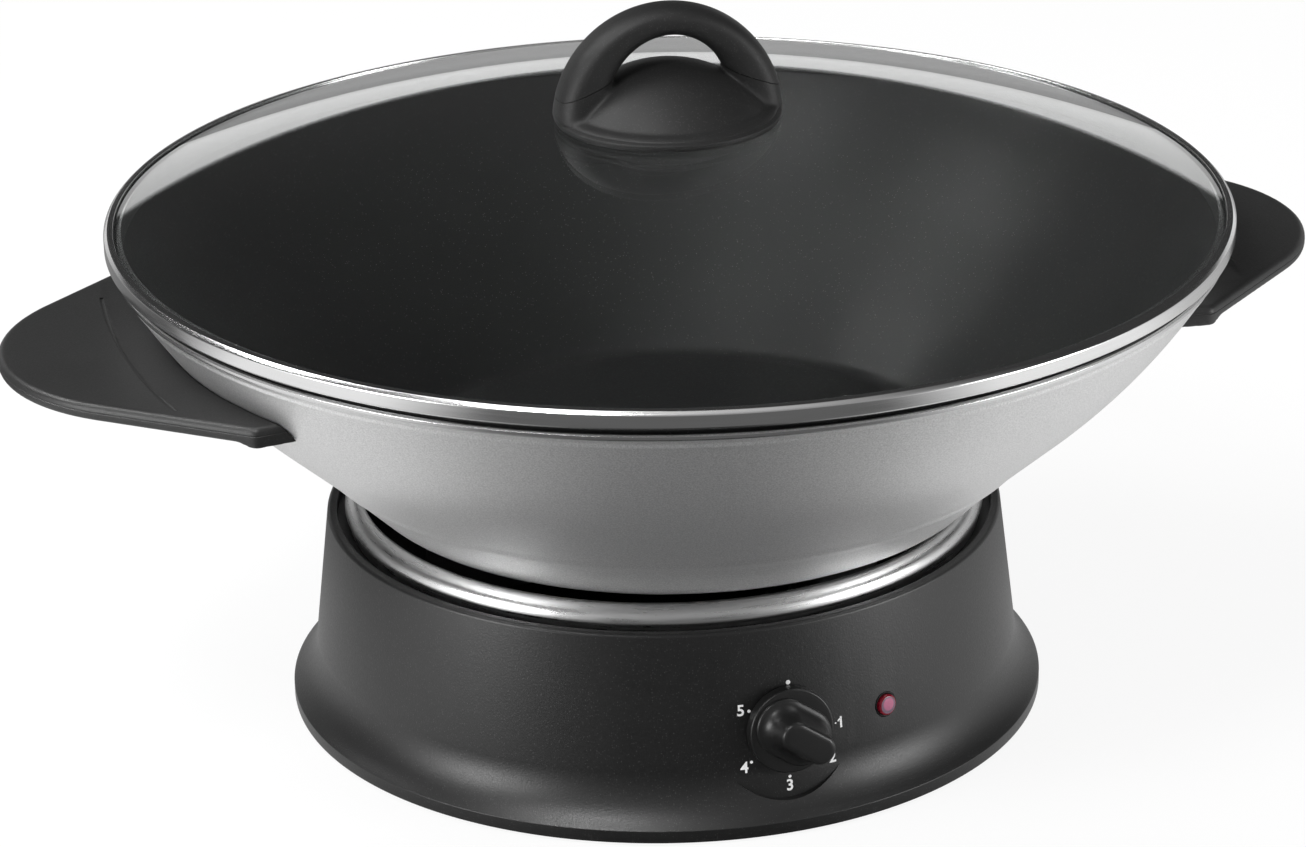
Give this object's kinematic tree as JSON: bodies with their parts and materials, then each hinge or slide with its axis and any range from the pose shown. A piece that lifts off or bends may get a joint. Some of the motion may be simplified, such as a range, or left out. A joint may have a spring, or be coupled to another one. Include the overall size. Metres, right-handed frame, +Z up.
{
  "type": "electric wok",
  "caption": "Electric wok: a round moulded heating base with a control knob, a wide flared bowl with wing-shaped side handles, and a domed glass lid with an arched handle.",
  "frame": {"origin": "centre of the underside of the bounding box: on the bowl's axis, in the plane that the rubber feet stand on", "axes": "+Z up, -Y towards the side that carries the control knob, +X to the right seen from that side, along the side handles"},
  "size_m": [0.4338, 0.36, 0.232],
  "materials": {
    "housing_plastic": "satin moulded",
    "cover_plastic": "matte moulded",
    "foot_rubber": "matte",
    "pan_steel": "bright rolled",
    "coil_sheath": "dark oxidised",
    "plated_steel": "zinc plated",
    "screw_steel": "bright",
    "ceramic": "unglazed",
    "red_lens": "translucent",
    "knob_plastic": "satin",
    "cast_bowl": "metallic paint outside and black non-stick inside",
    "disc_aluminium": "brushed",
    "phenolic": "fine grained",
    "clear_glass": "clear",
    "hoop_steel": "polished",
    "lid_plastic": "fine grained satin"
  },
  "bodies": {
    "base": {"base_housing": "housing_plastic", "bottom_cover": "cover_plastic", "reflector_pan": "pan_steel", "heating_coil": "coil_sheath", "heat_shield": "plated_steel", "thermal_fuse": "ceramic", "terminal_block": "ceramic", "cord_gland": "foot_rubber", "cord_clamp": "ceramic", "thermostat_plate": "plated_steel", "thermostat_body": "ceramic", "indicator_lens": "red_lens", "lamp_holder": "ceramic", "rubber_foot_1": "foot_rubber", "rubber_foot_2": "foot_rubber", "rubber_foot_3": "foot_rubber", "rubber_foot_4": "foot_rubber", "cover_screw_1": "screw_steel", "cover_screw_2": "screw_steel", "cover_screw_3": "screw_steel", "cover_screw_4": "screw_steel", "coil_bracket_1": "plated_steel", "coil_bracket_2": "plated_steel", "coil_bracket_3": "plated_steel", "pan_screw_1": "screw_steel", "pan_screw_2": "screw_steel", "pan_screw_3": "screw_steel", "shield_spacer_1": "plated_steel", "shield_spacer_2": "plated_steel", "shield_spacer_3": "plated_steel", "coil_terminal_1": "ceramic", "coil_terminal_2": "ceramic", "plate_screw_1": "screw_steel", "plate_screw_2": "screw_steel"},
    "knob": {"control_knob": "knob_plastic", "thermostat_shaft": "screw_steel"},
    "bowl": {"wok_bowl": "cast_bowl", "heat_disc": "disc_aluminium", "right_handle": "phenolic", "left_handle": "phenolic", "right_handle_lug": "plated_steel", "left_handle_lug": "plated_steel", "right_handle_screw_1": "screw_steel", "right_handle_screw_2": "screw_steel", "left_handle_screw_1": "screw_steel", "left_handle_screw_2": "screw_steel"},
    "lid": {"lid_glass": "clear_glass", "lid_hoop": "hoop_steel", "lid_handle_base": "lid_plastic", "lid_handle_arch": "lid_plastic", "lid_screw": "screw_steel", "lid_washer": "foot_rubber"}
  },
  "joints": [
    {"name": "thermostat_turn", "type": "hinge", "parent": "base", "child": "knob", "pos_m": [-0.0036, -0.11401, 0.0325], "axis": [0, 0.9929, -0.1191], "range_deg": [-125, 165]},
    {"name": "bowl_lift", "type": "slide", "parent": "base", "child": "bowl", "axis": [0, 0, 1], "range_m": [0, 0.06]},
    {"name": "lid_lift", "type": "slide", "parent": "bowl", "child": "lid", "axis": [0, 0, 1], "range_m": [0, 0.08]}
  ]
}
